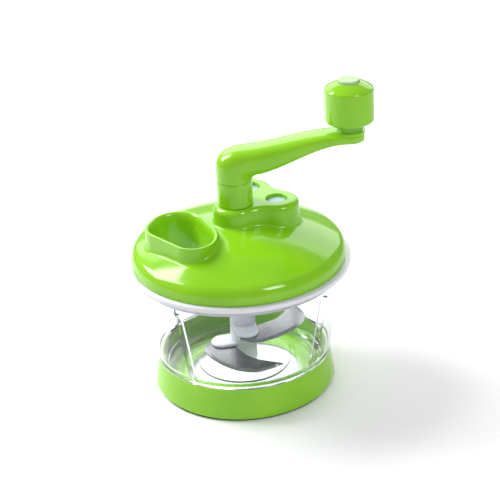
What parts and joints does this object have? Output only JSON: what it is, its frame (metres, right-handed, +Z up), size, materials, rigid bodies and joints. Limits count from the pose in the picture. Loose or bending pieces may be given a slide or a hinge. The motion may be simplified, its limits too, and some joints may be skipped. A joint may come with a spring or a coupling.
{
  "type": "manual food chopper",
  "caption": "Hand-cranked food chopper: a clear bowl with sickle blades under a geared lid with a feed chute and a crank with a turning knob.",
  "frame": {"origin": "at the table surface that the non-slip ring stands on, in the middle of the object's box: the bowl's axis stands 10.4 mm from it, towards -X", "axes": "+Z up along the bowl's axis; +X from the bowl's axis towards the knob as the crank stands in the picture; +Y away from the picture's camera"},
  "size_m": [0.2008, 0.18, 0.2554],
  "materials": {
    "lime_abs": "gloss moulded",
    "satin_green_abs": "satin moulded",
    "pale_grey_abs": "gloss moulded",
    "white_nylon": "satin moulded",
    "blue_grey_nylon": "satin moulded",
    "clear_polystyrene": "clear polished",
    "stainless_steel": "satin ground",
    "dark_rubber": "matte moulded",
    "clear_silicone": "satin moulded"
  },
  "bodies": {
    "bowl": {"bowl": "clear_polystyrene", "base_ring": "lime_abs", "non_slip_ring": "dark_rubber", "pivot_pin": "stainless_steel"},
    "blade_unit": {"blade_column": "pale_grey_abs", "lower_blade": "stainless_steel", "upper_blade": "stainless_steel"},
    "lid": {"lid_plate": "pale_grey_abs", "lid_seal": "clear_silicone", "lid_cover": "lime_abs", "gear_plate": "white_nylon", "drive_bush": "white_nylon", "crank_bush": "white_nylon", "gear_plate_screw_1": "stainless_steel", "gear_plate_screw_2": "stainless_steel", "gear_plate_screw_3": "stainless_steel", "lid_screw_1": "stainless_steel", "lid_screw_2": "stainless_steel", "lid_screw_3": "stainless_steel", "lid_screw_4": "stainless_steel", "axle_pin_1": "stainless_steel", "axle_pin_2": "stainless_steel"},
    "crank": {"input_gear": "white_nylon", "crank_spindle": "stainless_steel", "retaining_ring": "stainless_steel", "crank_hub": "lime_abs", "crank_arm": "lime_abs", "knob_pin": "stainless_steel"},
    "first_gear": {"cluster_gear_1": "blue_grey_nylon"},
    "second_gear": {"cluster_gear_2": "blue_grey_nylon"},
    "drive": {"output_gear": "white_nylon"},
    "knob": {"knob": "lime_abs", "knob_cap": "satin_green_abs"}
  },
  "joints": [
    {"name": "lid_lift", "type": "slide", "parent": "bowl", "child": "lid", "axis": [0, 0, 1], "range_m": [0, 0.12]},
    {"name": "crank_turn", "type": "hinge", "parent": "lid", "child": "crank", "pos_m": [-0.0104, 0, 0.167], "axis": [0, 0, 1], "continuous": true},
    {"name": "first_gear_turn", "type": "hinge", "parent": "lid", "child": "first_gear", "pos_m": [0.02219, 0.00516, 0.13], "axis": [0, 0, 1], "continuous": true},
    {"name": "second_gear_turn", "type": "hinge", "parent": "lid", "child": "second_gear", "pos_m": [0.00143, 0.03081, 0.12], "axis": [0, 0, 1], "continuous": true},
    {"name": "drive_turn", "type": "hinge", "parent": "lid", "child": "drive", "pos_m": [-0.0104, 0, 0.11], "axis": [0, 0, 1], "continuous": true},
    {"name": "blade_turn", "type": "hinge", "parent": "bowl", "child": "blade_unit", "pos_m": [-0.0104, 0, 0.025], "axis": [0, 0, 1], "continuous": true},
    {"name": "knob_spin", "type": "hinge", "parent": "crank", "child": "knob", "pos_m": [0.0812, 0, 0.23], "axis": [0, 0, 1], "continuous": true}
  ],
  "couplings": [
    {"joint": "first_gear_turn", "follows": "crank_turn", "ratio": -1.5882},
    {"joint": "second_gear_turn", "follows": "crank_turn", "ratio": 2.5225},
    {"joint": "drive_turn", "follows": "crank_turn", "ratio": -4.0063},
    {"joint": "blade_turn", "follows": "crank_turn", "ratio": -4.0063}
  ]
}
